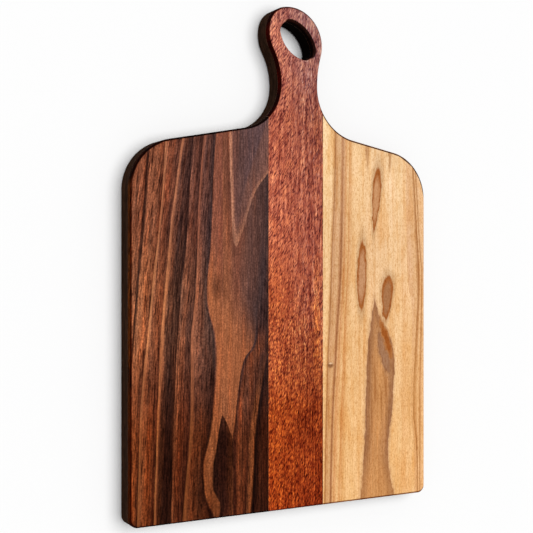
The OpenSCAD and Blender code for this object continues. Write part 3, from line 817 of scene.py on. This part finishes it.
# %% Finish the maple
MAPLE_SIDES = [(0.0, "#cfbfa6"), (0.25, "#cfbfa6"), (0.6, "#ffffff")]
# The ends ramp lays a painted shade on the rounded edges at the top and the bottom, and oil darkens the end
# grain
MAPLE_ENDS_OIL_AND_SHADE = [(0.1, "#b8987a"), (0.36, "#7c5f48"), (0.48, "#ffffff"), (0.502, "#ffffff"), (0.53, "#44322a"),
              (0.7, "#4e3a2e"), (0.95, "#a8886c")]
oiled(tree, colour, short_fibre, pores, MAPLE_SIDES, MAPLE_ENDS_OIL_AND_SHADE, roughness=0.5)
print("maple nodes:", len(tree.nodes))

# %% [markdown]
# ## Dark walnut backing and the glue
#
# The backing is plain dark walnut with straight grain, sanded and oiled: nobody looks at it, so
# it is the wood that was to hand, a quiet, nearly black brown. Its growth lines come from a long
# noise. The glue lines are thin films of cured glue, sanded flush and darkened by the oil.

# %% Make the backing
BACKING_WOOD = [(0.0, "#3a251c"), (0.35, "#4a3025"), (0.5, "#553629"), (0.54, "#3d271e"), (1.0, "#5a3a2c")]
backing, tree = new_material("dark_walnut_straight_grained_oiled")
spot = places(tree, wander_mm=3.0)[2]
bands = add(tree, "MapRange", (stretched(tree, spot, 7.0, 240.0, 3.0), 0.3, 0.7))
colour = add(tree, "ValToRGB", (bands,), stops=BACKING_WOOD)
short_fibre = stretched(tree, spot, 1.0, 8.0)
colour = streaked(tree, colour, short_fibre, (0.6, 0.58, 0.56), (1.35, 1.3, 1.28))
pores = add(tree, "MapRange", (stretched(tree, spot, 0.8, 9.0, 1.0), 0.6, 0.68))
colour = add(tree, "Mix", {0: pores, 6: colour, 7: (0.45, 0.42, 0.42, 1.0)}, **TINTING)
BACKING_SIDES = [(0.0, "#f0fcf4"), (0.35, "#f0fcf4"), (0.85, "#ffffff")]
BACKING_ENDS = [(0.12, "#dacfc6"), (0.4, "#ffffff"), (0.6, "#ffffff"), (0.88, "#dacfc6")]
oiled(tree, colour, short_fibre, pores, BACKING_SIDES, BACKING_ENDS, roughness=0.6)
print("backing nodes:", len(tree.nodes))

# %% Make the glue
glue, tree = new_material("wood_glue_cured_sanded")
mottle = stretched(tree, millimetres(tree), 0.5, 3.0)
mottle = add(tree, "MapRange", (mottle, 0.3, 0.7))
film = add(tree, "Mix", {0: mottle, 6: linear("#7a4c2c"), 7: linear("#94623c")}, **OVER)
surface = add(tree, "BsdfPrincipled", {"Base Color": film, "Roughness": 0.5, "Specular IOR Level": 0.3})
add(tree, "OutputMaterial", {"Surface": surface})
print("materials:", [m.name for m in bpy.data.materials])

# %% [markdown]
# ## Dress the staves
#
# The solid model's meshes are loose triangles with flat shading, which would show its curves as
# facets. So each stave is copied, its doubled points are merged, and it is shaded smooth except
# over sharp corners. A weighted-normal modifier then lets the big flat faces rule the shading at
# their borders, so the rounded edges run into them without a smear.

# %% Choose each stave's wood
STAVES = {
    "walnut_face_stave": ("walnut", walnut),
    "padauk_handle_stave": ("padauk", padauk),
    "maple_face_stave": ("maple", maple),
    "left_back_stave": ("dark_walnut", backing),
    "handle_back_stave": ("dark_walnut", backing),
    "right_back_stave": ("dark_walnut", backing),
}
print("staves:", len(STAVES))

# %% Copy the staves with smooth shading
SHARP_TURN = radians(35)
# A hundredth of a millimetre
MERGE_WITHIN = 0.00001
for node, (slot, wood) in STAVES.items():
    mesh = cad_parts[node].data.copy()
    mesh.name = node + "_smooth"
    shape = bmesh.new()
    shape.from_mesh(mesh)
    bmesh.ops.remove_doubles(shape, verts=shape.verts, dist=MERGE_WITHIN)
    bmesh.ops.dissolve_degenerate(shape, edges=shape.edges, dist=MERGE_WITHIN)
    for face in shape.faces:
        face.smooth = True
    for edge in shape.edges:
        edge.smooth = len(edge.link_faces) == 2 and edge.calc_face_angle(0.0) < SHARP_TURN
    open_edges = sum(len(edge.link_faces) != 2 for edge in shape.edges)
    shape.to_mesh(mesh)
    shape.free()
    mesh.materials.clear()
    mesh.materials.append(wood)
    piece = bpy.data.objects.new(node + "_smooth", mesh)
    bpy.context.scene.collection.objects.link(piece)
    piece.modifiers.new("weighted normals", "WEIGHTED_NORMAL").keep_sharp = True
    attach(piece, "root")
    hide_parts(node)
    print(node, len(mesh.polygons), "faces, open edges:", open_edges)

# %% Give the glue lines their material
for node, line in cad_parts.items():
    if "glue" in node:
        for slot in line.material_slots:
            slot.material = glue
        print(node, "slots:", len(line.material_slots))

# %% [markdown]
# ## Floor and light
#
# The board lies on a white floor that runs out of the picture. One big softbox hangs over it,
# leaning a little to the right and towards the handle, so the left edge and the square end throw
# a soft shadow. A very wide sun stands for it, because its light doesn't fall off over the floor.
# It is left out of the sheen: the white floor and studio give the oil its soft, even shine.

# %% Lay the floor
FLOOR_REACH = 6.0
floor_mesh = bpy.data.meshes.new("floor")
shape = bmesh.new()
bmesh.ops.create_grid(shape, x_segments=1, y_segments=1, size=FLOOR_REACH)
shape.to_mesh(floor_mesh)
shape.free()
floor = bpy.data.objects.new("floor", floor_mesh)
bpy.context.scene.collection.objects.link(floor)
print("floor reaches", FLOOR_REACH, "m each way")

# %% Make the floor's paper
# The camera, gloss and glass see white paper, and the board gets the light of a grey one
WHITE, LIT_PAPER = (1.0, 1.0, 1.0, 1.0), (0.35, 0.35, 0.35, 1.0)


def seen_or_lit(tree, seen_value, lit_value):
    """The first value for what the camera, gloss and glass see, and the second for the light."""
    rays = add(tree, "LightPath").outputs
    seen = add(tree, "Math", (rays["Is Camera Ray"], rays["Is Glossy Ray"]), operation="MAXIMUM")
    seen = add(tree, "Math", (seen, rays["Is Transmission Ray"]), operation="MAXIMUM")
    return add(tree, "Mix", {0: seen, 6: lit_value, 7: seen_value}, **OVER)


paper, tree = new_material("white_paper_floor")
colour = seen_or_lit(tree, WHITE, LIT_PAPER)
add(tree, "OutputMaterial", {"Surface": add(tree, "BsdfDiffuse", {"Color": colour})})
floor_mesh.materials.append(paper)

# %% Light the board
LAMP_LEAN, LAMP_TILT, LAMP_SPREAD = radians(7), radians(-7), radians(57)
LAMP_LIGHT = 2.52
lamp_data = bpy.data.lights.new("softbox", "SUN")
lamp_data.angle = LAMP_SPREAD
lamp_data.energy = LAMP_LIGHT
lamp = bpy.data.objects.new("softbox", lamp_data)
bpy.context.scene.collection.objects.link(lamp)
lamp.matrix_world = Matrix.Rotation(LAMP_LEAN, 4, "Y") @ Matrix.Rotation(LAMP_TILT, 4, "X")
lamp.visible_glossy = False
print("softbox light:", LAMP_LIGHT)

# %% Light the studio around the board
# Beyond the floor the studio is as white as the paper, but it lights the board by this much
STUDIO_LIGHT = (0.2, 0.2, 0.2, 1.0)
world = bpy.data.worlds.new("studio")
world.use_nodes = True
tree = world.node_tree
tree.nodes.clear()
colour = seen_or_lit(tree, WHITE, STUDIO_LIGHT)
sky = add(tree, "Background", {"Color": colour, "Strength": 1.0})
add(tree, "OutputWorld", {"Surface": sky})
bpy.context.scene.world = world
bpy.context.scene.view_settings.view_transform = "Standard"
